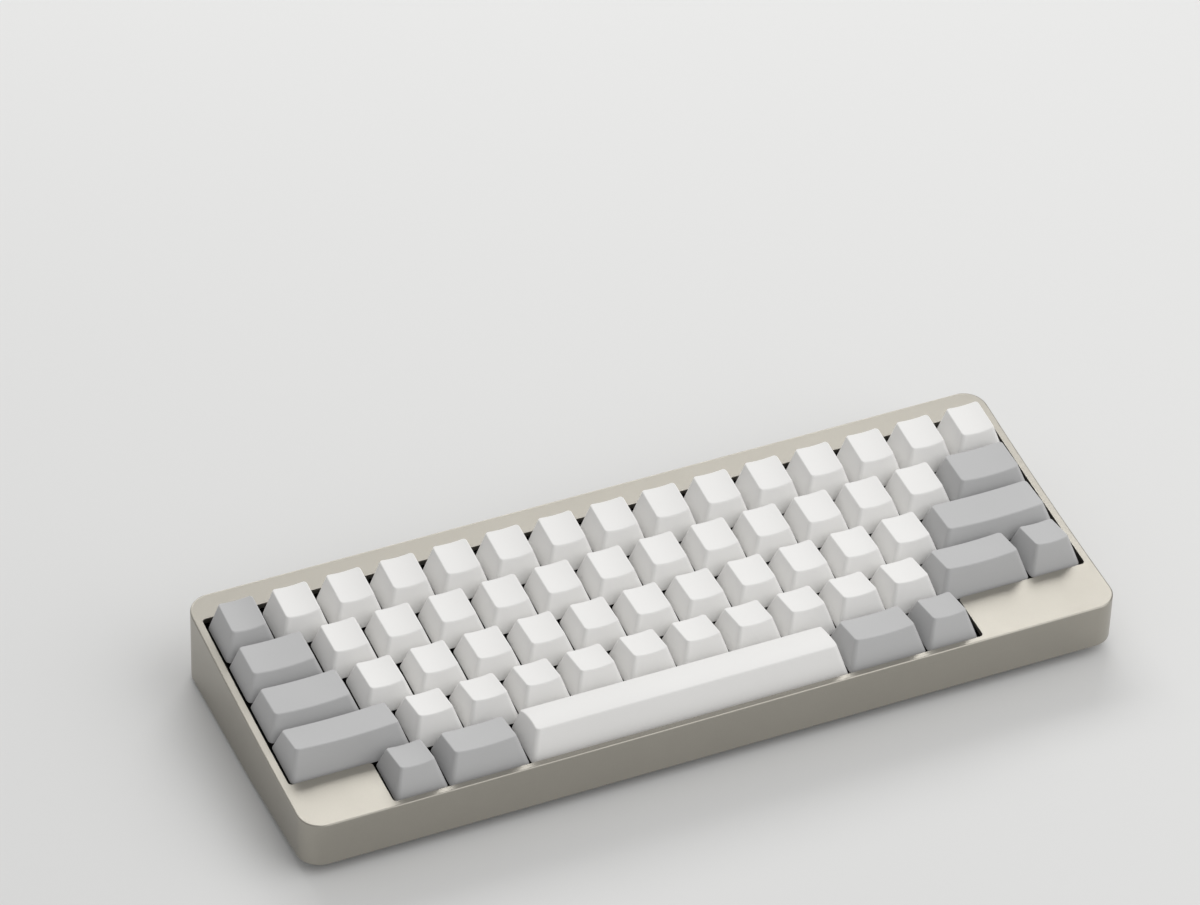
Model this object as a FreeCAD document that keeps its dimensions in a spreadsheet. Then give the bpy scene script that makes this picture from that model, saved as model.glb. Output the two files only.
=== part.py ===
import FreeCAD, Part
import math
import os
import re
import Sketcher
from FreeCAD import Placement, Rotation, Vector

# Compact keyboard: a wedge-shaped metal case, sixty keycaps on sliders in a guide frame, a sheet
# of rubber domes and a circuit board below them, and a bottom cover on four rubber feet.
# X runs along the rows, Y from the front to the back, Z up from the table.
# Deck places lie in the tilted plane of the case's top: across along X, deep to the rear and
# high square to the plane, measured from the front left corner of the key field.

SIZES = {
    # Key field
    "key_pitch": 19.05, "key_gap": 0.5, "key_travel": 4.0,
    # Case, outside
    "side_margin": 3.6, "front_margin": 2.8, "rear_margin": 11.8, "deck_tilt": 4.2,
    "front_height": 20.5, "deck_dip": 1.35, "corner_radius": 8.0, "foot_height": 1.5,
    "front_rise": 3.5, "rise_depth": 50.0, "edge_round": 0.5,
    # Case walls, the opening for the keys, and the bottom cover with its front hooks
    "panel": 2.2, "front_wall": 2.2, "side_wall": 2.7, "rear_wall": 3.0, "inner_radius": 4.0,
    "opening_side_gap": 0.9, "opening_front_gap": 0.6, "opening_rear_gap": 1.6, "opening_radius": 1.3,
    "cover": 2.0, "cover_clearance": 0.3, "hook_wide": 14.0, "hook_reach": 1.0,
    "hook_low": 0.8, "hook_high": 0.8, "hook_spread": 95.0,
    # Keycaps: heights above the lower rim, setbacks inwards from it
    "rim_depth": 2.3, "cap_side_setback": 3.3, "cap_dish": 0.65, "cap_wall": 1.3,
    "cap_ceiling": 1.6, "cap_edge_round": 0.45, "cap_base_radius": 1.8, "cap_top_radius": 1.2,
    "cap_inner_radius": 0.8, "bar_crown": 0.8,
    # Front and rear height and setback of the tops, row by row from the rear
    "one_front": 10.1, "one_rear": 10.45, "one_slope": 4.2, "one_back": 0.8,
    "two_front": 9.1, "two_rear": 8.55, "two_slope": 4.2, "two_back": 0.8,
    "three_front": 9.0, "three_rear": 7.5, "three_slope": 4.1, "three_back": 0.8,
    "four_front": 10.5, "four_rear": 7.1, "four_slope": 5.1, "four_back": 0.8,
    # Sliders and their guides
    "slider_side": 7.0, "slider_clearance": 0.1, "slider_rise": 1.7, "guide_wall": 1.2,
    "guide_rise": 3.2, "post_side": 3.6, "post_long": 3.4, "post_room": 0.2, "stem_wall": 1.1,
    "flange": 0.7, "flange_high": 0.8,
    # The stack below the caps
    "frame_clearance": 0.2, "frame_plate": 1.2, "edge_clearance": 0.5, "dome_high": 4.2,
    "dome_top": 6.0, "dome_base": 9.0, "dome_wall": 0.7, "rubber_sheet": 0.5, "board": 1.2,
    "chip_side": 9.0, "chip_high": 1.2, "chip_across": 30.0,
    # Stabiliser wires under the wide keys
    "wire": 1.2, "wire_clearance": 0.06, "wire_arm": 9.0, "wire_tip": 3.0, "wire_forward": 6.0,
    "wire_lift": 0.9, "wire_angle": 38.5, "wire_reach": 11.9, "bar_wire_reach": 47.6,
    "clip_wide": 3.0, "clip_deep": 2.0, "clip_high": 1.8, "clip_mouth": 0.9, "clip_inset": 3.5,
    "lug_wide": 2.0, "lug_wall": 0.8, "lug_inset": 1.9, "slot_clearance": 0.15,
    # Socket for a cord, and the recess for its plug
    "socket_wide": 8.94, "socket_high": 3.26, "socket_deep": 7.3, "socket_shell": 0.3,
    "socket_back": 0.8, "socket_round": 1.4, "contact_wide": 6.69, "contact_thick": 0.7,
    "contact_setback": 0.9, "socket_clearance": 0.15,
    "recess_wide": 13.0, "recess_high": 7.0, "recess_deep": 6.0, "recess_wall": 1.2,
    # Screws, what they go into, and the feet
    "screw": 2.5, "screw_head": 4.6, "head_high": 1.2, "screw_long": 12.0, "key_socket": 1.5,
    "key_socket_deep": 0.7, "thread_clearance": 0.05, "hole_clearance": 0.25,
    "boss": 6.0, "boss_rim": 0.3, "boss_inset": 8.5, "boss_spread": 57.0, "spacer_clearance": 0.3,
    "screw_seat": 0.8, "cover_block": 8.0, "block_inner": 30.0, "block_outer": 104.0,
    "pad": 13.0, "pad_inset": 17.0,
}

# Keys from the rear row to the front: profile, free columns at the left, and runs of equal keys.
# Each run gives its key's width and count, and how many of them share a piece in pairs.
ROWS = (
    ("one", 0, (("escape_key", 1, 1, 0), ("number_key", 1, 14, 14))),
    ("two", 0, (("tab_key", 1.5, 1, 0), ("upper_row_key", 1, 12, 8), ("backspace_key", 1.5, 1, 0))),
    ("three", 0, (("control_key", 1.75, 1, 0), ("home_row_key", 1, 11, 0),
                  ("return_key", 2.25, 1, 0))),
    ("four", 0, (("left_shift_key", 2.25, 1, 0), ("lower_row_key", 1, 10, 0),
                 ("right_shift_key", 1.75, 1, 0), ("function_key", 1, 1, 0))),
    ("four", 1.5, (("left_alt_key", 1, 1, 0), ("left_command_key", 1.5, 1, 0),
                   ("space_bar", 6, 1, 0), ("right_command_key", 1.5, 1, 0),
                   ("right_alt_key", 1, 1, 0))),
)
COLUMNS = 15
BLANK_LEFT, BLANK_RIGHT = 1.5, 2.5
WIRED, CROWNED = 2, 5

doc = FreeCAD.newDocument("compact_keyboard")
sheet = doc.addObject("Spreadsheet::Sheet", "Sheet")
for line, (name, number) in enumerate(SIZES.items(), 1):
    sheet.set(f"A{line}", name)
    sheet.set(f"B{line}", str(number))
    sheet.setAlias(f"B{line}", name)
doc.recompute()

# Formulas that several pieces share
FIELD_WIDE = f"({COLUMNS} * key_pitch)"
FIELD_DEEP = f"({len(ROWS)} * key_pitch)"
CASE_WIDE = f"({FIELD_WIDE} + 2 * side_margin)"
CHORD = f"({FIELD_DEEP} + front_margin + rear_margin)"
CASE_DEEP = f"({CHORD} * cos(deck_tilt))"
DECK_Y = f"(front_margin * cos(deck_tilt) - {CASE_DEEP} / 2)"
DECK_Z = "(foot_height + front_height + front_margin * sin(deck_tilt))"
DIP_RADIUS = f"({CHORD} ^ 2 / (8 * deck_dip) + deck_dip / 2)"
DECK_REAR = f"(front_height + {CHORD} * sin(deck_tilt))"
INSIDE_WIDE = f"({CASE_WIDE} - 2 * side_wall)"
INSIDE_DEEP = f"({CASE_DEEP} - front_wall - rear_wall)"
INSIDE_Y = "((front_wall - rear_wall) / 2)"
FRAME_TOP = "(-rim_depth - key_travel - frame_clearance)"
FRAME_LOW = f"({FRAME_TOP} - frame_plate)"
GUIDE_HOLE = "(slider_side + 2 * slider_clearance)"
GUIDE_SIDE = f"({GUIDE_HOLE} + 2 * guide_wall)"
SLIDER_TOP = f"({FRAME_TOP} + guide_rise + slider_rise)"
FLANGE_TOP = f"({FRAME_LOW} - slider_clearance)"
FLANGE_LOW = f"({FLANGE_TOP} - flange_high)"
DOME_LOW = f"({FLANGE_LOW} - slider_clearance - dome_high)"
BOARD_TOP = f"({DOME_LOW} - rubber_sheet)"
BOARD_LOW = f"({BOARD_TOP} - board)"
PLATE_WIDE = f"({INSIDE_WIDE} - 2 * edge_clearance)"
PLATE_FRONT = (f"((front_wall + {FRAME_TOP} * sin(deck_tilt)) / cos(deck_tilt)"
               " - front_margin + edge_clearance)")
PLATE_REAR = (f"(({CASE_DEEP} - rear_wall + {BOARD_LOW} * sin(deck_tilt)) / cos(deck_tilt)"
              " - front_margin - edge_clearance)")
BOSS_REAR = f"({PLATE_REAR} - boss / 2 - boss_rim)"
PORT_HIGH = f"({BOARD_LOW} - socket_high / 2)"
PORT_MOUTH = f"(({CASE_DEEP} + {PORT_HIGH} * sin(deck_tilt)) / cos(deck_tilt) - front_margin)"
PORT_FLOOR = f"({PORT_MOUTH} - recess_deep)"
POCKET_WIDE = "(recess_wide + 2 * recess_wall)"
WIRE_HIGH = f"({FRAME_TOP} + wire_lift)"
SLOT_HIGH = f"({WIRE_HIGH} + wire_arm * sin(wire_angle))"
SLOT_FRONT = "(wire_arm * cos(wire_angle) - wire_forward - wire / 2 - slot_clearance)"
SLOT_REAR = ("(sqrt(wire_arm ^ 2 - (wire_arm * sin(wire_angle) - key_travel) ^ 2)"
             " - wire_forward + wire / 2 + slot_clearance)")


def bind(thing, **sizes):
    """Ties properties to formulas on the sheet's names; a double underscore stands for a dot."""
    for name, text in sizes.items():
        linked = re.sub(r"[a-z_]{2,}", lambda m: f"Sheet.{m[0]}" if m[0] in SIZES else m[0], str(text))
        thing.setExpression(name.replace("__", "."), linked)
    return thing


def put(thing, x=0, y=0, z=0, turn=None, axis=(1, 0, 0)):
    """Places an object by formulas, turned about an axis through its origin."""
    if turn is not None:
        thing.Placement = Placement(Vector(), Rotation(Vector(*axis), 1))
        bind(thing, Placement__Rotation__Angle=turn)
    return bind(thing, Placement__Base__x=x, Placement__Base__y=y, Placement__Base__z=z)


def on_deck(thing, across=0, deep=0, high=0, turn="deck_tilt"):
    """Places an object made in the deck's directions on the tilted deck."""
    return put(thing, f"{across} - {FIELD_WIDE} / 2",
               f"{DECK_Y} + ({deep}) * cos(deck_tilt) - ({high}) * sin(deck_tilt)",
               f"{DECK_Z} + ({deep}) * sin(deck_tilt) + ({high}) * cos(deck_tilt)", turn)


def block(name, wide, deep, low, high, x=0, y=0):
    """A box around a vertical axis at x, y, from low to high."""
    thing = bind(doc.addObject("Part::Box", name), Length=wide, Width=deep, Height=f"{high} - ({low})")
    return put(thing, f"{x} - ({wide}) / 2", f"{y} - ({deep}) / 2", low)


def rod(name, across, low, high, x=0, y=0):
    """An upright cylinder of a given diameter from low to high."""
    thing = bind(doc.addObject("Part::Cylinder", name), Radius=f"({across}) / 2", Height=f"{high} - ({low})")
    return put(thing, x, y, low)


def cross_rod(name, across, long, x, y, z, turn=90, axis=(0, 1, 0)):
    """A cylinder from a point along X, or turned out of the vertical about another axis."""
    thing = bind(doc.addObject("Part::Cylinder", name), Radius=f"({across}) / 2", Height=long)
    return put(thing, x, y, z, turn, axis)


def cone(name, low_across, high_across, low, high, x, y):
    thing = bind(doc.addObject("Part::Cone", name), Radius1=f"({low_across}) / 2",
                 Radius2=f"({high_across}) / 2", Height=f"{high} - ({low})")
    return put(thing, x, y, low)


def cut(name, base, tool):
    thing = doc.addObject("Part::Cut", name)
    thing.Base, thing.Tool = base, tool
    return thing


def common(name, first, second):
    thing = doc.addObject("Part::Common", name)
    thing.Base, thing.Tool = first, second
    return thing


def fuse(name, things):
    thing = doc.addObject("Part::MultiFuse", name)
    thing.Shapes = things
    return thing


def group(name, things):
    thing = doc.addObject("Part::Compound", name)
    thing.Links = things
    return thing


def rounded(name, base, radius, wanted):
    """Fillets the edges that wanted picks, with a radius on the sheet."""
    doc.recompute()
    size = getattr(sheet, radius)
    thing = doc.addObject("Part::Fillet", name)
    thing.Base = base
    thing.Edges = [(n, size, size) for n, edge in enumerate(base.Shape.Edges, 1) if wanted(edge)]
    return thing


def upright(edge):
    """True for a straight edge along Z."""
    ends = [vertex.Point for vertex in edge.Vertexes]
    return len(ends) == 2 and (ends[1] - ends[0]).cross(Vector(0, 0, 1)).Length < 1e-6


def top_outline(base):
    """Picks the outline of the widest cylinder face, which is the hollow or crowned top."""
    doc.recompute()
    faces = [face for face in base.Shape.Faces if isinstance(face.Surface, Part.Cylinder)]
    top = max(faces, key=lambda face: (round(face.Surface.Radius, 3), face.Area))
    return lambda edge: any(edge.isSame(side) for side in top.OuterWire.Edges)


def round_rectangle(name, wide, deep, radius):
    """A sketch of a rectangle about its origin with round corners, its sizes bound to the sheet."""
    sketch = doc.addObject("Sketcher::SketchObject", name)
    half_x, half_y, bend = 6.0, 5.0, 1.0
    for turn, (right, back) in enumerate(((1, 1), (-1, 1), (-1, -1), (1, -1))):
        centre = Vector(right * (half_x - bend), back * (half_y - bend), 0)
        circle = Part.Circle(centre, Vector(0, 0, 1), bend)
        start = turn * math.pi / 2
        sketch.addGeometry(Part.ArcOfCircle(circle, start, start + math.pi / 2), False)
    for turn in range(4):
        here, there = sketch.Geometry[turn], sketch.Geometry[(turn + 1) % 4]
        sketch.addGeometry(Part.LineSegment(here.EndPoint, there.StartPoint), False)
    for turn in range(4):
        line, after = 4 + turn, (turn + 1) % 4
        sketch.addConstraint(Sketcher.Constraint("Tangent", turn, 2, line, 1))
        sketch.addConstraint(Sketcher.Constraint("Tangent", line, 2, after, 1))
        sketch.addConstraint(Sketcher.Constraint(("Horizontal", "Vertical")[turn % 2], line))
        if turn:
            sketch.addConstraint(Sketcher.Constraint("Equal", 0, turn))
    sketch.addConstraint(Sketcher.Constraint("Symmetric", 0, 3, 2, 3, -1, 1))
    for kind, where, label, text in (("Radius", (0, bend), "radius", radius),
                                     ("DistanceX", (-1, 1, 7, 1, half_x), "half_wide", f"({wide}) / 2"),
                                     ("DistanceY", (-1, 1, 4, 1, half_y), "half_deep", f"({deep}) / 2")):
        number = sketch.addConstraint(Sketcher.Constraint(kind, *where))
        sketch.renameConstraint(number, label)
        bind(sketch, **{f"Constraints__{label}": text})
    return sketch


def side_prism(name, corners, wide, x=0):
    """A prism along X from its side view: corners back and up from the case's front foot."""
    origin = 10
    sketch = doc.addObject("Sketcher::SketchObject", name + "_side")
    turns = [2 * math.pi * corner / len(corners) for corner in range(len(corners))]
    rough = [Vector(30 + 10 * math.cos(turn), 30 + 10 * math.sin(turn), 0) for turn in turns]
    for corner, start in enumerate(rough):
        sketch.addGeometry(Part.LineSegment(start, rough[(corner + 1) % len(rough)]), False)
    for corner in range(len(rough)):
        after = (corner + 1) % len(rough)
        sketch.addConstraint(Sketcher.Constraint("Coincident", corner, 2, after, 1))
    for corner, (back, up) in enumerate(corners):
        letter = "abcdefgh"[corner]
        for kind, label, text in (("DistanceX", f"back_{letter}", back), ("DistanceY", f"up_{letter}", up)):
            number = sketch.addConstraint(Sketcher.Constraint(kind, -1, 1, corner, 1, 20))
            sketch.renameConstraint(number, label)
            bind(sketch, **{f"Constraints__{label}": f"{text} + {origin}"})
    sketch.Placement = Placement(Vector(), Rotation(Vector(0, 1, 0), Vector(0, 0, 1), Vector(1, 0, 0), "ZXY"))
    bind(sketch, Placement__Base__y=f"-{CASE_DEEP} / 2 - {origin}", Placement__Base__z=f"foot_height - {origin}")
    thing = doc.addObject("Part::Extrusion", name)
    thing.Base = sketch
    thing.DirMode = "Normal"
    thing.Symmetric = True
    thing.Solid = True
    return bind(thing, LengthFwd=wide, Placement__Base__x=x)


def rise(back):
    """How high the slanted front of the underside is at a distance from the front."""
    return f"(front_rise * (1 - ({back}) / rise_depth))"


def deck_roller(name, drop):
    """The cylinder along X whose lowest line is the hollow of the deck, or lies below it by drop."""
    middle, high = f"({CHORD} / 2 - front_margin)", f"({DIP_RADIUS} - deck_dip)"
    return cross_rod(name, f"2 * ({DIP_RADIUS} + {drop})", f"{CASE_WIDE} + 20", f"-{CASE_WIDE} / 2 - 10",
                     f"{DECK_Y} + {middle} * cos(deck_tilt) - {high} * sin(deck_tilt)",
                     f"{DECK_Z} + {middle} * sin(deck_tilt) + {high} * cos(deck_tilt)")


# Where screws go: frame screws as across and deep on the deck, cover screws as X from the middle
FIELD_MIDDLE = f"({FIELD_WIDE} / 2)"
BLANK_SCREWS = (("boss_inset", "key_pitch / 2"), (f"({FIELD_WIDE} - boss_inset)", "key_pitch / 2"))
REAR_SCREWS = (("boss_inset", BOSS_REAR), (f"({FIELD_MIDDLE} - boss_spread)", BOSS_REAR),
               (f"({FIELD_MIDDLE} + boss_spread)", BOSS_REAR), (f"({FIELD_WIDE} - boss_inset)", BOSS_REAR))
FRAME_SCREWS = BLANK_SCREWS + REAR_SCREWS
COVER_SCREWS = ("(-block_outer)", "(-block_inner)", "block_inner", "block_outer")
BLOCK_Y = f"({CASE_DEEP} / 2 - rear_wall - cover_block / 2)"
BLOCK_TOP = "(foot_height + screw_seat + screw_long)"
HOLE = "(screw + 2 * hole_clearance)"
THREAD = "(screw + 2 * thread_clearance)"


def case_body():
    """The shell: walls, hollow deck with the key opening, screw bosses and the socket's recess."""
    outside = side_prism("case_outside", (("0", "front_rise"), ("rise_depth", "0"), (CASE_DEEP, "0"),
                                          (CASE_DEEP, f"{DECK_REAR} + 5"), ("0", f"{DECK_REAR} + 5")),
                         CASE_WIDE)
    outside = rounded("case_corners", outside, "corner_radius", upright)
    outside = cut("case_top", outside, deck_roller("deck_hollow", 0))
    outside = rounded("case_edge", outside, "edge_round", top_outline(outside))
    inside = block("inside_block", INSIDE_WIDE, INSIDE_DEEP, "-1", f"foot_height + {DECK_REAR} + 5", 0, INSIDE_Y)
    inside = rounded("inside_corners", inside, "inner_radius", upright)
    inside = cut("case_inside", inside, deck_roller("panel_hollow", "panel"))
    shell = cut("case_shell", outside, inside)
    bosses = [rod(f"boss_{n}", "boss", FRAME_TOP, "-panel", x, y) for n, (x, y) in enumerate(FRAME_SCREWS)]
    pocket_deep = f"({PORT_MOUTH} - rear_wall / 2 - {PORT_FLOOR} + recess_wall)"
    pocket = block("port_pocket", POCKET_WIDE, pocket_deep, f"{PORT_HIGH} - recess_high / 2 - recess_wall",
                   f"{PORT_HIGH} + recess_high / 2 + recess_wall", FIELD_MIDDLE,
                   f"({PORT_FLOOR} - recess_wall + {pocket_deep} / 2)")
    blocks = [block(f"cover_block_{n}", "cover_block", "cover_block + rear_wall / 2", "foot_height + cover",
                    BLOCK_TOP, x, f"({BLOCK_Y} + rear_wall / 4)") for n, x in enumerate(COVER_SCREWS)]
    solid = fuse("case_solid", [shell, on_deck(group("deck_bosses", bosses + [pocket]))] + blocks)

    field = block("field_opening", f"{FIELD_WIDE} + 2 * opening_side_gap",
                  f"{FIELD_DEEP} - key_pitch + opening_front_gap + opening_rear_gap", "-10", "10",
                  FIELD_MIDDLE, f"({FIELD_DEEP} + key_pitch + opening_rear_gap - opening_front_gap) / 2")
    keys_wide = COLUMNS - BLANK_LEFT - BLANK_RIGHT
    front = block("front_opening", f"{keys_wide} * key_pitch + 2 * opening_side_gap",
                  "2 * key_pitch + opening_front_gap", "-10", "10",
                  f"({BLANK_LEFT + keys_wide / 2} * key_pitch)", "(key_pitch - opening_front_gap / 2)")
    opening = rounded("key_opening", fuse("key_openings", [field, front]), "opening_radius", upright)
    recess = block("port_recess", "recess_wide", "recess_deep + rear_wall", f"{PORT_HIGH} - recess_high / 2",
                   f"{PORT_HIGH} + recess_high / 2", FIELD_MIDDLE, f"({PORT_FLOOR} + (recess_deep + rear_wall) / 2)")
    port = block("port_hole", "socket_wide + 2 * socket_clearance", "3 * recess_wall",
                 f"{PORT_HIGH} - socket_high / 2 - socket_clearance",
                 f"{PORT_HIGH} + socket_high / 2 + socket_clearance", FIELD_MIDDLE, PORT_FLOOR)
    threads = [rod(f"thread_{n}", THREAD, f"{FRAME_TOP} - 1", f"{BOARD_LOW} + screw_long + hole_clearance", x, y)
               for n, (x, y) in enumerate(FRAME_SCREWS)]
    cover_threads = [rod(f"cover_thread_{n}", THREAD, "foot_height", f"{BLOCK_TOP} + 1", x, BLOCK_Y)
                     for n, x in enumerate(COVER_SCREWS)]
    low = "front_rise + hook_low - cover_clearance"
    high = "front_rise + hook_low + hook_high + cover_clearance"
    reach = "front_wall - hook_reach - cover_clearance"
    slots = [side_prism(f"hook_slot_{n}", ((reach, low), ("front_wall + 1", low), ("front_wall + 1", high),
                                           (reach, high)), "hook_wide + 2 * cover_clearance", x)
             for n, x in enumerate(("-hook_spread", "hook_spread"))]
    tool = group("case_tools", [on_deck(group("deck_tools", [opening, recess, port] + threads))]
                 + cover_threads + slots)
    return cut("case_body", solid, tool)


def bottom_cover():
    """A bent plate between the walls, hooked in at the front and screwed down at the rear."""
    front, rear = "(front_wall + cover_clearance)", f"({CASE_DEEP} - rear_wall - cover_clearance)"
    band = side_prism("cover_band", ((front, rise(front)), ("rise_depth", "0"), (rear, "0"), (rear, "cover"),
                                     ("rise_depth", "cover"), (front, f"{rise(front)} + cover")),
                      f"{INSIDE_WIDE} - 2 * cover_clearance")
    band = rounded("cover_corners", band, "inner_radius", upright)
    tip, root = "front_wall - hook_reach", "front_wall + cover_clearance + cover"
    low, high = "front_rise + hook_low", "front_rise + hook_low + hook_high"
    hooks = [side_prism(f"hook_{n}", ((tip, low), (root, low), (root, high), (tip, high)), "hook_wide", x)
             for n, x in enumerate(("-hook_spread", "hook_spread"))]
    holes = [rod(f"cover_hole_{n}", HOLE, "0", "foot_height + cover + 1", x, BLOCK_Y)
             for n, x in enumerate(COVER_SCREWS)]
    seats = [rod(f"cover_seat_{n}", "screw_head + 2 * hole_clearance", "0", "foot_height + screw_seat", x, BLOCK_Y)
             for n, x in enumerate(COVER_SCREWS)]
    return cut("bottom_cover", fuse("cover_solid", [band] + hooks), group("cover_holes", holes + seats))


def plate(name, low, high, rear):
    """A plate of the stack inside the case, with round corners."""
    solid = block(name + "_block", PLATE_WIDE, f"{rear} - {PLATE_FRONT}", low, high, FIELD_MIDDLE,
                  f"({rear} + {PLATE_FRONT}) / 2")
    return rounded(name + "_plate", solid, "inner_radius", upright)


def key_centres():
    """Yields the centre column and row of each key, in key pitches, with its width."""
    for row, (profile, free, runs) in enumerate(ROWS):
        left = free
        for name, units, count, paired in runs:
            for key in range(count):
                yield left + units / 2, len(ROWS) - row - 0.5, units
                left += units


def wired_keys():
    return [(column, row, units) for column, row, units in key_centres() if units >= WIRED]


def wire_size(units):
    return "bar_wire_reach" if units >= CROWNED else "wire_reach"


def key_frame():
    """The guide frame: one square guide for each slider, spacers to the board, and wire clips."""
    solids = [plate("frame", FRAME_LOW, FRAME_TOP, PLATE_REAR)]
    holes = []
    for n, (column, row, units) in enumerate(key_centres()):
        place = (f"{column} * key_pitch", f"{row} * key_pitch")
        solids.append(block(f"guide_{n}", GUIDE_SIDE, GUIDE_SIDE, FRAME_LOW, f"{FRAME_TOP} + guide_rise", *place))
        holes.append(block(f"guide_hole_{n}", GUIDE_HOLE, GUIDE_HOLE, f"{FRAME_LOW} - 1",
                           f"{FRAME_TOP} + guide_rise + 1", *place))
    for n, (x, y) in enumerate(FRAME_SCREWS):
        solids.append(rod(f"spacer_{n}", "boss", BOARD_TOP, FRAME_TOP, x, y))
        holes.append(rod(f"spacer_hole_{n}", HOLE, f"{BOARD_TOP} - 1", f"{FRAME_TOP} + 1", x, y))
    for n, (column, row, units) in enumerate(wired_keys()):
        reach, y = wire_size(units), f"({row} * key_pitch - wire_forward)"
        centres = [f"({column} * key_pitch + {side} * ({reach} - clip_inset))" for side in (-1, 1)]
        if units >= CROWNED:
            centres += [f"({column} * key_pitch + {side} * key_pitch)" for side in (-1, 1)]
        for clip, x in enumerate(centres):
            top = f"{FRAME_TOP} + clip_high"
            solids.append(block(f"clip_{n}_{clip}", "clip_wide", "clip_deep", FRAME_LOW, top, x, y))
            holes.append(block(f"clip_mouth_{n}_{clip}", "clip_wide + 1", "clip_mouth", WIRE_HIGH, f"{top} + 1", x, y))
            holes.append(cross_rod(f"clip_bore_{n}_{clip}", "wire + 2 * wire_clearance", "clip_wide + 1",
                                   f"{x} - (clip_wide + 1) / 2", y, WIRE_HIGH))
    return on_deck(cut("key_frame", fuse("frame_solid", solids), group("frame_holes", holes)))


def dome_sheet():
    """A rubber sheet with a hollow dome under each slider."""
    solids, holes = [plate("sheet", BOARD_TOP, DOME_LOW, FIELD_DEEP)], []
    for n, (column, row, units) in enumerate(key_centres()):
        place = (f"{column} * key_pitch", f"{row} * key_pitch")
        top = f"{DOME_LOW} + dome_high"
        solids.append(cone(f"dome_{n}", "dome_base", "dome_top", DOME_LOW, top, *place))
        holes.append(cone(f"dome_hollow_{n}", "dome_base - 2 * dome_wall", "dome_top - 2 * dome_wall", DOME_LOW,
                          f"{top} - dome_wall", *place))
        holes.append(rod(f"dome_mouth_{n}", "dome_base - 2 * dome_wall", f"{BOARD_TOP} - 1", DOME_LOW, *place))
    holes += [rod(f"sheet_hole_{n}", "boss + 2 * spacer_clearance", f"{BOARD_TOP} - 1", f"{DOME_LOW} + 1", x, y)
              for n, (x, y) in enumerate(BLANK_SCREWS)]
    return on_deck(cut("dome_sheet", fuse("sheet_solid", solids), group("sheet_holes", holes)))


def circuit_board():
    """The board below the domes, cut out around the socket's pocket, with its controller chip."""
    notch_front = f"({PORT_FLOOR} - recess_wall - edge_clearance)"
    notch = block("board_notch", f"{POCKET_WIDE} + 2 * edge_clearance", "2 * recess_deep", f"{BOARD_LOW} - 1",
                  f"{BOARD_TOP} + 1", FIELD_MIDDLE, f"({notch_front} + recess_deep)")
    holes = [rod(f"board_hole_{n}", HOLE, f"{BOARD_LOW} - 1", f"{BOARD_TOP} + 1", x, y)
             for n, (x, y) in enumerate(FRAME_SCREWS)]
    board = cut("board_cut", plate("board", BOARD_LOW, BOARD_TOP, PLATE_REAR), group("board_holes", [notch] + holes))
    chip = block("chip", "chip_side", "chip_side", f"{BOARD_LOW} - chip_high", BOARD_LOW,
                 f"({FIELD_MIDDLE} + chip_across)", f"({FIELD_DEEP} - key_pitch / 2)")
    return on_deck(group("circuit_board", [board, chip]))


def usb_socket():
    """The socket under the board's rear edge, made with its mouth up and then laid down."""
    outer = rounded("socket_outer", block("socket_block", "socket_wide", "socket_high", "-socket_deep", "0"),
                    "socket_round", upright)
    inner = rounded("socket_inner", block("socket_room", "socket_wide - 2 * socket_shell",
                                          "socket_high - 2 * socket_shell", "-socket_deep + socket_back", "1"),
                    "socket_round", upright)
    inner.Edges = [(n, first - sheet.socket_shell, last - sheet.socket_shell) for n, first, last in inner.Edges]
    contacts = block("contacts", "contact_wide", "contact_thick", "-socket_deep + socket_back / 2",
                     "-contact_setback")
    shell = cut("socket_hollow", outer, inner)
    return on_deck(fuse("usb_socket", [shell, contacts]), FIELD_MIDDLE, PORT_FLOOR, PORT_HIGH, "deck_tilt - 90")


def screws():
    """Pan-head screws: six up through board and frame, four up through the bottom cover."""
    hexagon = doc.addObject("Part::Prism", "screw_hexagon")
    put(bind(hexagon, Circumradius="key_socket / sqrt(3)", Height="key_socket_deep"), 0, 0, "-head_high")
    screw = cut("screw", fuse("screw_solid", [rod("head", "screw_head", "-head_high", "0"),
                                              rod("shank", "screw", "0", "screw_long")]), hexagon)
    copies = [on_deck(group(f"frame_screw_{n}", [screw]), x, y, BOARD_LOW) for n, (x, y) in enumerate(FRAME_SCREWS)]
    copies += [put(group(f"cover_screw_{n}", [screw]), x, BLOCK_Y, "foot_height + screw_seat")
               for n, x in enumerate(COVER_SCREWS)]
    return put(group("screws", copies))


def rubber_feet():
    """Four round feet; the front pair is taller and cut to the slanted underside."""
    places = [(x, y) for y in (f"(pad_inset - {CASE_DEEP} / 2)", f"({CASE_DEEP} / 2 - pad_inset)")
              for x in (f"(pad_inset - {CASE_WIDE} / 2)", f"({CASE_WIDE} / 2 - pad_inset)")]
    rods = [rod(f"foot_{n}", "pad", "0", "foot_height + front_rise", x, y) for n, (x, y) in enumerate(places)]
    below = side_prism("below_case", (("-2", "-foot_height - 2"), (f"{CASE_DEEP} + 2", "-foot_height - 2"),
                                      (f"{CASE_DEEP} + 2", "0"), ("rise_depth", "0"), ("-2", rise("-2"))),
                       CASE_WIDE)
    return common("rubber_feet", group("feet", rods), below)


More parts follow.
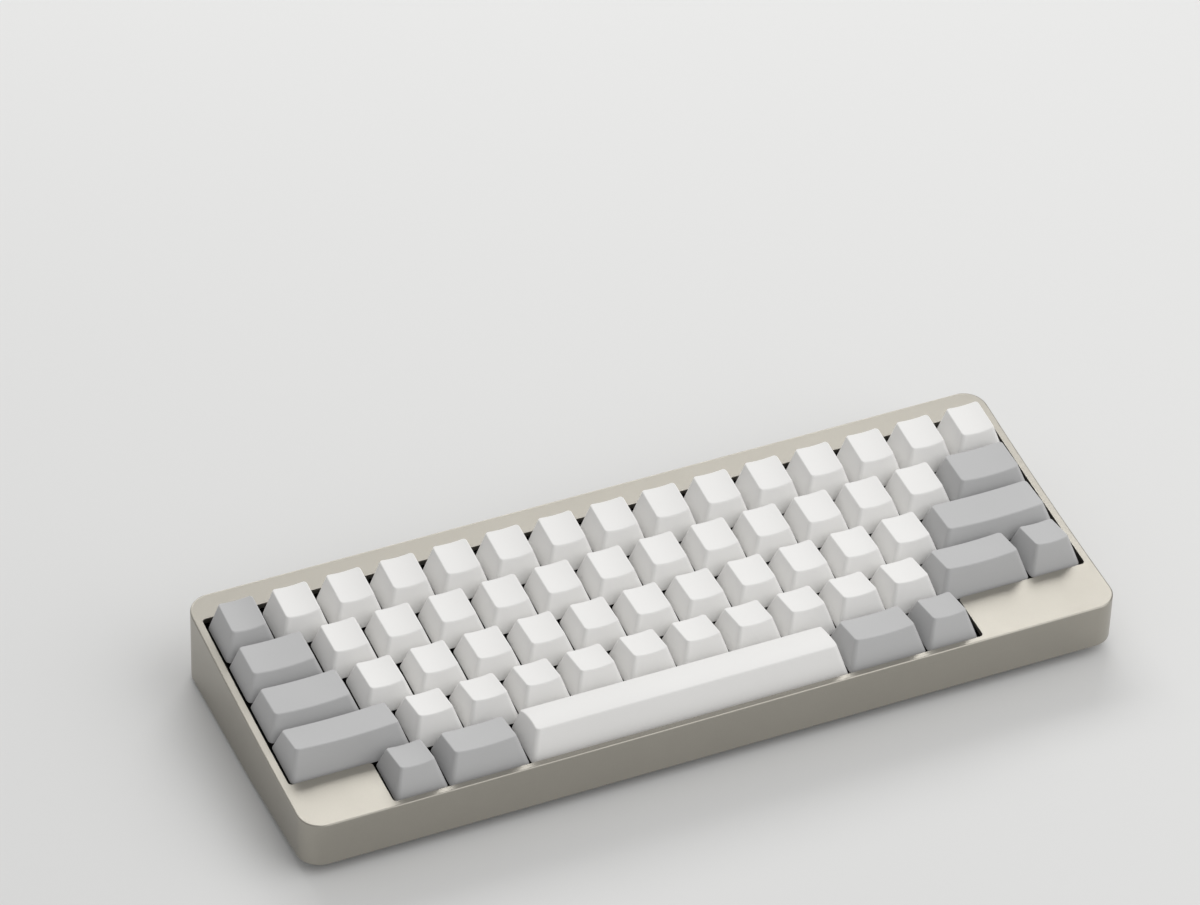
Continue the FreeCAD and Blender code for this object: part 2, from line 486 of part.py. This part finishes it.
def keycap(profile, units):
    """A keycap about its key's centre in deck directions, with its stem and any wire lugs."""
    name = f"cap_{profile}_{str(units).replace('.', '_')}"
    front, rear, slope, back = (f"{profile}_{end}" for end in ("front", "rear", "slope", "back"))
    wide, deep = f"({units} * key_pitch - key_gap)", "(key_pitch - key_gap)"
    top_wide = f"({wide} - 2 * cap_side_setback)"
    run = f"({deep} - {slope} - {back})"
    tilt = f"atan(({rear} - {front}) / {run})"
    top_long = f"({run} / cos({tilt}))"
    top_y, top_z = f"({slope} - {back}) / 2", f"(({front} + {rear}) / 2 - rim_depth)"

    def on_top(thing, lift, along=0, turn=tilt, x=0, axis=(1, 0, 0)):
        """Places an object above the tilted top by lift, and rearwards on it by along."""
        return put(thing, x, f"{top_y} - ({lift}) * sin({tilt}) + ({along}) * cos({tilt})",
                   f"{top_z} + ({lift}) * cos({tilt}) + ({along}) * sin({tilt})", turn, axis)

    def frustum(part, low, low_sizes, lift, high_sizes):
        """A solid between a level round rectangle and one on the tilted top."""
        lower = put(round_rectangle(f"{name}_{part}_low", *low_sizes), 0, 0, low)
        upper = on_top(round_rectangle(f"{name}_{part}_high", *high_sizes), lift)
        loft = doc.addObject("Part::Loft", f"{name}_{part}")
        loft.Sections = [lower, upper]
        loft.Solid = True
        loft.Ruled = True
        return loft

    crowned = units >= CROWNED
    outside = frustum("outside", "-rim_depth", (wide, deep, "cap_base_radius"),
                      "1.5 * bar_crown" if crowned else 0, (top_wide, top_long, "cap_top_radius"))
    if crowned:
        radius = f"({top_long} ^ 2 / (8 * bar_crown) + bar_crown / 2)"
        crown = cross_rod(f"{name}_crown", f"2 * {radius}", f"{wide} + 2", 0, 0, 0)
        on_top(crown, f"bar_crown - {radius}", 0, 90, f"-{wide} / 2 - 1", (0, 1, 0))
        outside = common(f"{name}_crowned", outside, crown)
    else:
        radius = f"({top_wide} ^ 2 / (8 * cap_dish) + cap_dish / 2)"
        dish = cross_rod(f"{name}_dish", f"2 * {radius}", "3 * key_pitch", 0, 0, 0)
        on_top(dish, f"{radius} - cap_dish", "-1.5 * key_pitch", f"{tilt} - 90 deg")
        outside = cut(f"{name}_dished", outside, dish)
    outside = rounded(f"{name}_edge", outside, "cap_edge_round", top_outline(outside))

    hollow = frustum("hollow", "-rim_depth - 0.5", (f"{wide} - 2 * cap_wall", f"{deep} - 2 * cap_wall",
                                                    "cap_inner_radius"),
                     "-cap_ceiling - " + ("0" if crowned else "cap_dish"),
                     (f"{top_wide} - cap_wall", f"{top_long} - cap_wall", "cap_inner_radius"))
    stem_side = "(post_side + 2 * stem_wall)"
    kept = [block(f"{name}_stem", stem_side, stem_side, SLIDER_TOP, "20")]
    holes = [block(f"{name}_bore", "post_side", "post_side", f"{SLIDER_TOP} - 1",
                   f"{SLIDER_TOP} + post_long + post_room")]
    if units >= WIRED:
        low, high = f"{SLOT_HIGH} - wire / 2 - slot_clearance", f"{SLOT_HIGH} + wire / 2 + slot_clearance"
        middle = f"({SLOT_FRONT} + {SLOT_REAR}) / 2"
        for side, sign in (("left", -1), ("right", 1)):
            x = f"({sign} * ({wire_size(units)} - lug_inset))"
            kept.append(block(f"{name}_{side}_lug", "lug_wide", f"{SLOT_REAR} - {SLOT_FRONT} + 2 * lug_wall",
                              f"{low} - lug_wall", "20", x, middle))
            holes.append(block(f"{name}_{side}_slot", "lug_wide + 1", f"{SLOT_REAR} - {SLOT_FRONT}", low, high,
                               x, middle))
    hollow = cut(f"{name}_room", hollow, group(f"{name}_kept", kept))
    return cut(name, cut(f"{name}_shell", outside, hollow), group(f"{name}_holes", holes))


def slider():
    """The plunger under a keycap: flange, square body and a post pressed into the cap's stem."""
    wide = "slider_side + 2 * flange"
    return fuse("slider", [block("slider_flange", wide, wide, FLANGE_LOW, FLANGE_TOP),
                           block("slider_body", "slider_side", "slider_side", FLANGE_TOP, SLIDER_TOP),
                           block("slider_post", "post_side", "post_side", SLIDER_TOP, f"{SLIDER_TOP} + post_long")])


def keys():
    """Every keycap on its slider, by name; each copy shares the cap of its profile and width."""
    plunger, caps, made = slider(), {}, {}
    for row, (profile, left, runs) in enumerate(ROWS):
        for name, units, count, paired in runs:
            if (profile, units) not in caps:
                caps[profile, units] = keycap(profile, units)
            pieces, done = [caps[profile, units], plunger], 0
            while done < count:
                together = 2 if done < paired else 1
                number = sum(label.startswith(name[:-4]) for label in made) + 1
                label = name if count == 1 else f"{name}{'s' if together == 2 else ''}_{number:02}"
                if together == 2:
                    halves = [put(group(f"{label}_{side}", pieces), f"{sign * units} * key_pitch / 2")
                              for side, sign in (("left", -1), ("right", 1))]
                key = group(label, halves if together == 2 else pieces)
                middle = left + units * together / 2
                made[label] = on_deck(key, f"{middle} * key_pitch", f"{len(ROWS) - row - 0.5} * key_pitch")
                left += units * together
                done += together
    return made


def wire(name, column, row, units):
    """A stabiliser wire: bar, two arms to the rear and tips bent inwards, at the angle of rest."""
    reach = wire_size(units)
    rods = [cross_rod(f"{name}_bar", "wire", f"2 * {reach}", f"-{reach}", 0, 0)]
    for side, sign, tip in (("left", -1, f"-{reach}"), ("right", 1, f"{reach} - wire_tip")):
        rods.append(cross_rod(f"{name}_{side}_arm", "wire", "wire_arm", f"{sign} * {reach}", 0, 0, -90, (1, 0, 0)))
        rods.append(cross_rod(f"{name}_{side}_tip", "wire", "wire_tip", tip, "wire_arm", 0))
        for bend, y in (("front", 0), ("rear", "wire_arm")):
            elbow = bind(doc.addObject("Part::Sphere", f"{name}_{side}_{bend}"), Radius="wire / 2")
            rods.append(put(elbow, f"{sign} * {reach}", y, 0))
    return on_deck(fuse(name, rods), f"{column} * key_pitch", f"{row} * key_pitch - wire_forward", WIRE_HIGH,
                   "deck_tilt + wire_angle")


pieces = {"case_body": case_body(), "bottom_cover": bottom_cover(), "key_frame": key_frame(),
          "dome_sheet": dome_sheet(), "circuit_board": circuit_board(), "usb_socket": usb_socket(),
          "screws": screws(), "rubber_feet": rubber_feet()}
pieces.update(keys())
for name, (column, row, units) in zip(("return_key_wire", "left_shift_wire", "space_bar_wire"), wired_keys()):
    pieces[name] = wire(name, column, row, units)
doc.recompute()

failed = [thing.Name for thing in doc.Objects if {"Invalid", "Error"} & set(thing.State)]
for name, piece in pieces.items():
    piece.Label = name
    if piece.Shape.isNull() or not piece.Shape.isValid():
        failed.append(name)
if failed:
    raise RuntimeError("Failed: " + ", ".join(failed))

os.makedirs("parts", exist_ok=True)
for name, piece in pieces.items():
    piece.Shape.exportStep(f"parts/{name}.step")
print(len(pieces), "pieces;", sum(len(piece.Shape.Solids) for piece in pieces.values()), "solids")
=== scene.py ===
import math
import bmesh
import bpy
from mathutils import Matrix, Vector


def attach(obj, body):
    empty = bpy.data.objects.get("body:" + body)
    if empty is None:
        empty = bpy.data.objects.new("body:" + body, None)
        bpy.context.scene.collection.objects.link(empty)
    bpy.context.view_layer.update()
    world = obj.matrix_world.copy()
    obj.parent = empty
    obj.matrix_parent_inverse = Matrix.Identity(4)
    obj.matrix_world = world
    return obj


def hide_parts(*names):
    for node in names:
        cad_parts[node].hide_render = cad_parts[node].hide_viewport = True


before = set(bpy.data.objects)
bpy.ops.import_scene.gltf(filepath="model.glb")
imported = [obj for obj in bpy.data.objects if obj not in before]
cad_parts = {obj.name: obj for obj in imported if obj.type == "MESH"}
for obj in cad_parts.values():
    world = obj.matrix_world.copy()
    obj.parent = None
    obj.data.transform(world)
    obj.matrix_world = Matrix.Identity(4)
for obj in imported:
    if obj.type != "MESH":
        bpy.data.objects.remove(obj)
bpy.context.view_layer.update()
scene = bpy.context.scene

# All sizes are in metres. Heights are over the deck, the case's tilted top.
PITCH, COLUMNS, TILT = 0.01905, 15, math.radians(4.2)
DECK_Y, DECK_Z = -0.051985, 0.022205
DECK = Matrix.Translation((-COLUMNS / 2 * PITCH, DECK_Y, DECK_Z)) @ Matrix.Rotation(TILT, 4, "X")

# Keycaps: the gap between them, the rim's height, the walls, and how far the top's sides are set back
KEY_GAP, RIM, WALL, CEILING, SIDE_SETBACK = 0.0005, -0.0023, 0.0013, 0.0016, 0.0033
# Depth of a hollow top, and rise of the crowned one that keys wider than this many units have
DISH, CROWN, CROWNED_OVER = 0.00065, 0.0008, 5
# Roundings: the upright corners, the top's outline and the rim
CORNER, EDGE, LIP = 0.0018, 0.0004, 0.0002
# Flat strips across a curved top, and the angle over which its edges are rounded
DISH_STRIPS, CROWN_STRIPS, SHARP = 20, 16, math.radians(38)
# How far a cutting cylinder reaches past a cap, and a blank over its crown, as a share of the crown
TOOL_SPARE, CROWN_SPARE = 0.02, 1.5
# Points closer than this are one, and heights closer than this are equal
MERGE, LEVEL = 0.00005, 1e-6
# Smooth shading up to this angle, and how strongly the large faces lead it
SMOOTH, FACE_WEIGHT = math.radians(34), 60

# Sliders: heights, widths, the flange's thickness and how far it stands out, the post's length
SLIDER_TOP, SLIDER_LOW, SLIDER_SIDE, SLIDER_EDGE = -0.0016, -0.0086, 0.007, 0.00015
FLANGE, FLANGE_STEP, POST, POST_LENGTH = 0.0008, 0.0007, 0.0036, 0.0034
# The cap's stem, and how far under the top it ends inside the ceiling
STEM, STEM_UNDER_TOP = 0.0058, 0.0012

# The tops by profile: height of the front and rear edges over the rim, and how far each is set back
PROFILES = {"one": (0.0101, 0.01045, 0.0042, 0.0008), "two": (0.0091, 0.00855, 0.0042, 0.0008),
            "three": (0.0090, 0.0075, 0.0041, 0.0008), "four": (0.0105, 0.0071, 0.0051, 0.0008)}

# Keys from the rear row to the front: profile, free columns at the left, and runs of equal keys.
# Each run gives its width and count, and how many of its keys share a node in pairs.
ROWS = (
    ("one", 0, (("escape_key", 1, 1, 0), ("number_key", 1, 14, 14))),
    ("two", 0, (("tab_key", 1.5, 1, 0), ("upper_row_key", 1, 12, 8), ("backspace_key", 1.5, 1, 0))),
    ("three", 0, (("control_key", 1.75, 1, 0), ("home_row_key", 1, 11, 0), ("return_key", 2.25, 1, 0))),
    ("four", 0, (("left_shift_key", 2.25, 1, 0), ("lower_row_key", 1, 10, 0),
                 ("right_shift_key", 1.75, 1, 0), ("function_key", 1, 1, 0))),
    ("four", 1.5, (("left_alt_key", 1, 1, 0), ("left_command_key", 1.5, 1, 0), ("space_bar", 6, 1, 0),
                   ("right_command_key", 1.5, 1, 0), ("right_alt_key", 1, 1, 0))),
)
WHITE_KEYS = ("number_key", "upper_row_key", "home_row_key", "lower_row_key", "space_bar")

# Lamps that face the object: place, size and power. Then the surroundings' strength and the floor's side
FRONT_SOFTBOX = (0.8, -0.72, 1.15), (1.7, 1.7), 11.8
REAR_SOFTBOX = (0.26, 1.1, 0.9), (1.3, 0.5), 8.4
SURROUNDINGS, FLOOR_SIDE = 0.48, 12

# The photograph's camera: place, its picture's right, down and forward directions, and its lens in mm
EYE = (-0.65345, -1.34057, 1.36305)
EYE_AXES = ((0.9145, -0.40356, 0.02863), (-0.24235, -0.60309, -0.75997), (0.32396, 0.68806, -0.64933))
LENS, SENSOR = 180.88, 36


# Materials

class Value:
    """A shader socket with arithmetic: each operator adds a Math node."""

    def __init__(self, tree, socket):
        self.tree, self.socket = tree, socket

    def math(self, operation, other):
        node = self.tree.nodes.new("ShaderNodeMath")
        node.operation = operation
        link(self.tree, node.inputs[0], self)
        link(self.tree, node.inputs[1], other)
        return Value(self.tree, node.outputs[0])

    def __add__(self, other):
        return self.math("ADD", other)

    def __mul__(self, other):
        return self.math("MULTIPLY", other)

    __radd__, __rmul__ = __add__, __mul__


def link(tree, socket, value):
    """Sets a socket to a number or colour, or links a Value to it."""
    if isinstance(value, Value):
        tree.links.new(value.socket, socket)
    else:
        socket.default_value = value


class Finish:
    """A material under construction, with its Principled shader."""

    def __init__(self, name):
        self.material = bpy.data.materials.new(name)
        self.material.use_nodes = True
        self.tree = self.material.node_tree
        self.shader = self.tree.nodes["Principled BSDF"]
        self.place = self.node("ShaderNodeTexCoord", {}, "Object")

    def node(self, kind, sockets, output=0, **settings):
        """Adds a node: its settings first, then its sockets by name or number."""
        node = self.tree.nodes.new(kind)
        for name, value in settings.items():
            setattr(node, name, value)
        for socket, value in sockets.items():
            link(self.tree, node.inputs[socket], value)
        return Value(self.tree, node.outputs[output])

    def set(self, **values):
        """Sets the shader's own sockets."""
        for name, value in values.items():
            link(self.tree, self.shader.inputs[name.replace("_", " ")], value)
        return self

    def noise(self, scale, detail, roughness):
        return self.node("ShaderNodeTexNoise", {
            "Vector": self.place, "Scale": scale, "Detail": detail, "Roughness": roughness})

    def mix(self, factor, first, second):
        """Two colours mixed by a factor."""
        return self.node("ShaderNodeMix", {"Factor": factor, 6: first, 7: second}, 2, data_type="RGBA")

    def bump(self, height, distance, strength):
        return self.node("ShaderNodeBump", {"Height": height, "Distance": distance, "Strength": strength})


def linear(red, green, blue):
    """A colour from 0 to 255 levels as the screen shows them."""
    parts = [level / 255 for level in (red, green, blue)]
    return [p / 12.92 if p <= 0.04045 else ((p + 0.055) / 1.055) ** 2.4 for p in parts] + [1.0]


def cap_plastic(name, colour, other):
    """Matte moulded plastic: a fine grain, and a slow drift of its shade."""
    made = Finish(name)
    grain = made.noise(5200, 2.0, 0.6)
    drift = made.noise(38, 2.0, 0.5)
    return made.set(Base_Color=made.mix(drift, colour, other), Roughness=0.52 + 0.1 * drift, IOR=1.5,
                    Normal=made.bump(grain, 0.00002, 0.5)).material


def blasted_metal(name, colour, other):
    """Bead-blasted and anodised aluminium: fine even pits and a faint cloudiness."""
    made = Finish(name)
    pits = made.noise(2600, 2.0, 0.65)
    cloud = made.noise(60, 3.0, 0.6)
    return made.set(Base_Color=made.mix(0.5 * pits + 0.5 * cloud, colour, other), Metallic=0.9,
                    Roughness=0.3 + 0.03 * cloud + 0.05 * pits,
                    Normal=made.bump(pits, 0.00002, 0.4)).material


def plain(name, colour, roughness, metallic=0.0):
    """A finish with one colour, slightly uneven, and a fine surface."""
    made = Finish(name)
    grain = made.noise(900, 2.0, 0.5)
    darker = [0.75 * part for part in colour[:3]] + [1.0]
    return made.set(Base_Color=made.mix(grain, darker, colour), Roughness=roughness - 0.08 + 0.16 * grain,
                    Metallic=metallic, Normal=made.bump(grain, 0.00001, 0.5)).material


def dress(piece, material):
    """Gives a piece its one finish."""
    piece.data.materials.clear()
    piece.data.materials.append(material)


cap_finishes = {
    "white": cap_plastic("white_cap_plastic", linear(238, 237, 235), linear(234, 233, 231)),
    "grey": cap_plastic("grey_cap_plastic", linear(190, 190, 190), linear(185, 185, 185)),
}
node_finishes = {
    "case_body": blasted_metal("case_metal", linear(174, 170, 161), linear(163, 159, 150)),
    "bottom_cover": plain("cover_metal", linear(110, 107, 100), 0.5, 0.8),
    "key_frame": plain("frame_plastic", linear(28, 28, 28), 0.6),
    "dome_sheet": plain("dome_rubber", linear(90, 90, 88), 0.7),
    "circuit_board": plain("board_mask", linear(28, 74, 44), 0.4),
    "usb_socket": plain("socket_steel", linear(190, 190, 190), 0.3, 1.0),
    "screws": plain("screw_steel", linear(120, 120, 122), 0.35, 1.0),
    "rubber_feet": plain("foot_rubber", linear(38, 38, 38), 0.8),
}
for wire in ("left_shift_wire", "return_key_wire", "space_bar_wire"):
    node_finishes[wire] = node_finishes["usb_socket"]
for node, finish in node_finishes.items():
    dress(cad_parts[node], finish)


# Modelling

def activate(thing):
    """Leaves only this piece selected, and active."""
    bpy.ops.object.select_all(action="DESELECT")
    thing.select_set(True)
    bpy.context.view_layer.objects.active = thing


def box(name, size, low):
    """A box of a given size that stands at a height, left active in object mode."""
    bpy.ops.object.select_all(action="DESELECT")
    bpy.ops.mesh.primitive_cube_add(size=1, location=(0, 0, low + size[2] / 2), scale=size)
    bpy.ops.object.transform_apply(location=True, rotation=True, scale=True)
    bpy.context.object.name = bpy.context.object.data.name = name
    return bpy.context.object


def pick(thing, kind, wanted):
    """In edit mode, selects the faces or edges that wanted picks, and nothing else."""
    bpy.ops.mesh.select_mode(type={"faces": "FACE", "edges": "EDGE"}[kind])
    bpy.ops.mesh.select_all(action="DESELECT")
    shape = bmesh.from_edit_mesh(thing.data)
    for part in getattr(shape, kind):
        if wanted(part):
            part.select_set(True)
    shape.select_flush_mode()
    bmesh.update_edit_mesh(thing.data)


def extrude(rise):
    """Draws the selected level faces up."""
    bpy.ops.mesh.extrude_region_move(TRANSFORM_OT_translate={"value": (0, 0, rise)})


def round_edges(radius, segments):
    """Rounds the selected edges, each by its full radius."""
    bpy.ops.mesh.bevel(offset=radius, segments=segments, affect="EDGES", clamp_overlap=False,
                       loop_slide=False)


def apply_modifier(thing, kind, **settings):
    activate(thing)
    modifier = thing.modifiers.new(kind.lower(), kind)
    for name, value in settings.items():
        setattr(modifier, name, value)
    bpy.ops.object.modifier_apply(modifier=modifier.name)


def carve(thing, tool, operation):
    """Cuts a tool away, or keeps only what is shared with it, and deletes the tool."""
    apply_modifier(thing, "BOOLEAN", operation=operation, object=tool, solver="EXACT")
    bpy.data.objects.remove(tool)


def soften(thing):
    """Smooth shading with sharp edges, led by the large faces."""
    activate(thing)
    bpy.ops.object.shade_smooth_by_angle(angle=SMOOTH)
    apply_modifier(thing, "WEIGHTED_NORMAL", keep_sharp=True, weight=FACE_WEIGHT)


def keycap(profile, units):
    """A keycap on its slider, about its key's centre and level with the deck."""
    name = f"cap_{profile}_{units}".replace(".", "_")
    front, rear, slope, back = PROFILES[profile]
    wide, deep, high = units * PITCH - KEY_GAP, PITCH - KEY_GAP, (front + rear) / 2
    top_wide, run = wide - 2 * SIDE_SETBACK, deep - slope - back
    tilt, top_y = math.atan2(rear - front, run), (slope - back) / 2
    top_long = run / math.cos(tilt)
    top, normal = Vector((0, top_y, RIM + high)), Vector((0, -math.sin(tilt), math.cos(tilt)))
    crowned = units > CROWNED_OVER

    def lean_top(sizes, low_sizes, centre):
        """Draws the selected level face in to a size, moves it rearwards and leans it as the top."""
        bpy.ops.transform.resize(value=(sizes[0] / low_sizes[0], sizes[1] / low_sizes[1], 1))
        bpy.ops.transform.translate(value=(0, top_y, 0))
        bpy.ops.transform.rotate(value=-tilt, orient_axis="X", center_override=centre)

    # Tapered body with round corners
    cap = box(name, (wide, deep, high), RIM)
    bpy.ops.object.mode_set(mode="EDIT")
    pick(cap, "edges", lambda edge: abs(edge.verts[0].co.z - edge.verts[1].co.z) > 0.5 * high)
    bpy.ops.mesh.bevel(offset=CORNER, segments=6, affect="EDGES")
    pick(cap, "faces", lambda face: face.normal.z > 0.9)
    lean_top((top_wide, top_long), (wide, deep), top)
    if crowned:
        bpy.ops.transform.translate(value=normal * CROWN_SPARE * CROWN)
    bpy.ops.object.mode_set(mode="OBJECT")

    # Hollow top, or a crowned one, by a long cylinder
    if crowned:
        radius, strip = top_long ** 2 / (8 * CROWN) + CROWN / 2, top_long / CROWN_STRIPS
        place, turn, long = top + normal * (CROWN - radius), (0, math.pi / 2, 0), wide + TOOL_SPARE
    else:
        radius, strip = top_wide ** 2 / (8 * DISH) + DISH / 2, top_wide / DISH_STRIPS
        place, turn, long = top + normal * (radius - DISH), (tilt - math.pi / 2, 0, 0), 2 * TOOL_SPARE
    bpy.ops.object.select_all(action="DESELECT")
    bpy.ops.mesh.primitive_cylinder_add(vertices=4 * round(math.pi * radius / strip / 2), radius=radius,
                                        depth=long, location=place, rotation=turn)
    carve(cap, bpy.context.object, "INTERSECT" if crowned else "DIFFERENCE")

    # Rounded outline of the top, the hollow underside and the rim
    activate(cap)
    bpy.ops.object.mode_set(mode="EDIT")
    bpy.ops.mesh.select_all(action="SELECT")
    bpy.ops.mesh.remove_doubles(threshold=MERGE)
    pick(cap, "edges", lambda edge: min(vert.co.z for vert in edge.verts) > 0.5 * high + RIM
         and edge.calc_face_angle() > SHARP)
    round_edges(EDGE, 4)
    pick(cap, "faces", lambda face: face.normal.z < -0.9)
    bpy.ops.mesh.inset(thickness=WALL, use_even_offset=True)
    room = high - CEILING - (0 if crowned else DISH)
    extrude(room)
    lean_top((top_wide - WALL, top_long - WALL), (wide - 2 * WALL, deep - 2 * WALL), (0, top_y, RIM + room))
    pick(cap, "edges", lambda edge: max(vert.co.z for vert in edge.verts) < RIM + LEVEL)
    round_edges(LIP, 2)
    bpy.ops.object.mode_set(mode="OBJECT")
    soften(cap)

    stem = box(f"{name}_stem", (STEM, STEM, RIM + high - STEM_UNDER_TOP - SLIDER_TOP), SLIDER_TOP)
    plunger = slider(f"{name}_slider")
    activate(cap)
    stem.select_set(True)
    plunger.select_set(True)
    bpy.ops.object.join()
    return cap


def slider(name):
    """The plunger under a cap: a flange, a square body and the post that is pressed into the stem."""
    side = SLIDER_SIDE + 2 * FLANGE_STEP
    thing = box(name, (side, side, FLANGE), SLIDER_LOW)
    bpy.ops.object.mode_set(mode="EDIT")
    for width, rise in ((SLIDER_SIDE, SLIDER_TOP - SLIDER_LOW - FLANGE), (POST, POST_LENGTH)):
        top = max(vert.co.z for vert in bmesh.from_edit_mesh(thing.data).verts)
        pick(thing, "faces", lambda face: face.normal.z > 0.9 and face.calc_center_median().z > top - LEVEL)
        bpy.ops.mesh.inset(thickness=(side - width) / 2)
        extrude(rise)
        side = width
    bpy.ops.object.mode_set(mode="OBJECT")
    apply_modifier(thing, "BEVEL", width=SLIDER_EDGE, segments=2, limit_method="ANGLE")
    return thing


def key_names(name, number, count, paired):
    """The CAD node that a key of a run belongs to, and the name of its own cap."""
    if count == 1:
        node = name
    elif number > paired:
        node = f"{name}_{number - paired + paired // 2:02}"
    else:
        node = f"{name}s_{(number + 1) // 2:02}"
        return node, f"{node}_{'left' if number % 2 else 'right'}_cap"
    return node, node + "_cap"


# The keys: one cap is modelled for each profile and width, and copied to its places
masters = {}
for row, (profile, column, runs) in enumerate(ROWS):
    for name, units, count, paired in runs:
        if (profile, units) not in masters:
            masters[profile, units] = keycap(profile, units)
        for number in range(1, count + 1):
            node, piece = key_names(name, number, count, paired)
            cap = masters[profile, units].copy()
            cap.data = cap.data.copy()
            scene.collection.objects.link(cap)
            cap.name = cap.data.name = piece
            across, deep = (column + units / 2) * PITCH, (len(ROWS) - row - 0.5) * PITCH
            cap.matrix_world = DECK @ Matrix.Translation((across, deep, 0))
            activate(cap)
            bpy.ops.object.transform_apply(location=True, rotation=True, scale=True)
            shade = "white" if name.startswith(WHITE_KEYS) else "grey"
            dress(cap, cap_finishes[shade])
            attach(cap, node)
            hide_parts(node)
            shade + "_cap"
            column += units
for master in masters.values():
    bpy.data.objects.remove(master)


# Lamps, floor and surroundings

def softbox(name, place, size, power):
    """A rectangular lamp that faces the object."""
    lamp = bpy.data.lights.new(name, "AREA")
    lamp.shape, lamp.size, lamp.size_y, lamp.energy = "RECTANGLE", *size, power
    thing = bpy.data.objects.new(name, lamp)
    scene.collection.objects.link(thing)
    thing.location = place
    thing.rotation_euler = (-Vector(place)).to_track_quat("-Z", "Y").to_euler()


softbox("front_softbox", *FRONT_SOFTBOX)
softbox("rear_softbox", *REAR_SOFTBOX)

bpy.ops.object.select_all(action="DESELECT")
bpy.ops.mesh.primitive_plane_add(size=FLOOR_SIDE, location=(0, 0, 0))
floor = bpy.context.object
floor.name = "floor"
dress(floor, Finish("pale_floor").set(Base_Color=linear(226, 226, 225), Roughness=0.8).material)

world = bpy.data.worlds.new("studio")
scene.world = world
world.use_nodes = True
background = world.node_tree.nodes["Background"].inputs
background["Color"].default_value = (1, 1, 1, 1)
background["Strength"].default_value = SURROUNDINGS

# Camera at the photograph's place
lens = bpy.data.cameras.new("camera")
lens.lens, lens.sensor_width, lens.clip_start, lens.clip_end = LENS, SENSOR, 0.1, 20
camera = bpy.data.objects.new("camera", lens)
scene.collection.objects.link(camera)
right, down, ahead = (Vector(axis).normalized() for axis in EYE_AXES)
camera.matrix_world = Matrix.Translation(EYE) @ Matrix((right, -down, -ahead)).transposed().to_4x4()
scene.camera = camera
scene.view_settings.view_transform = "Standard"
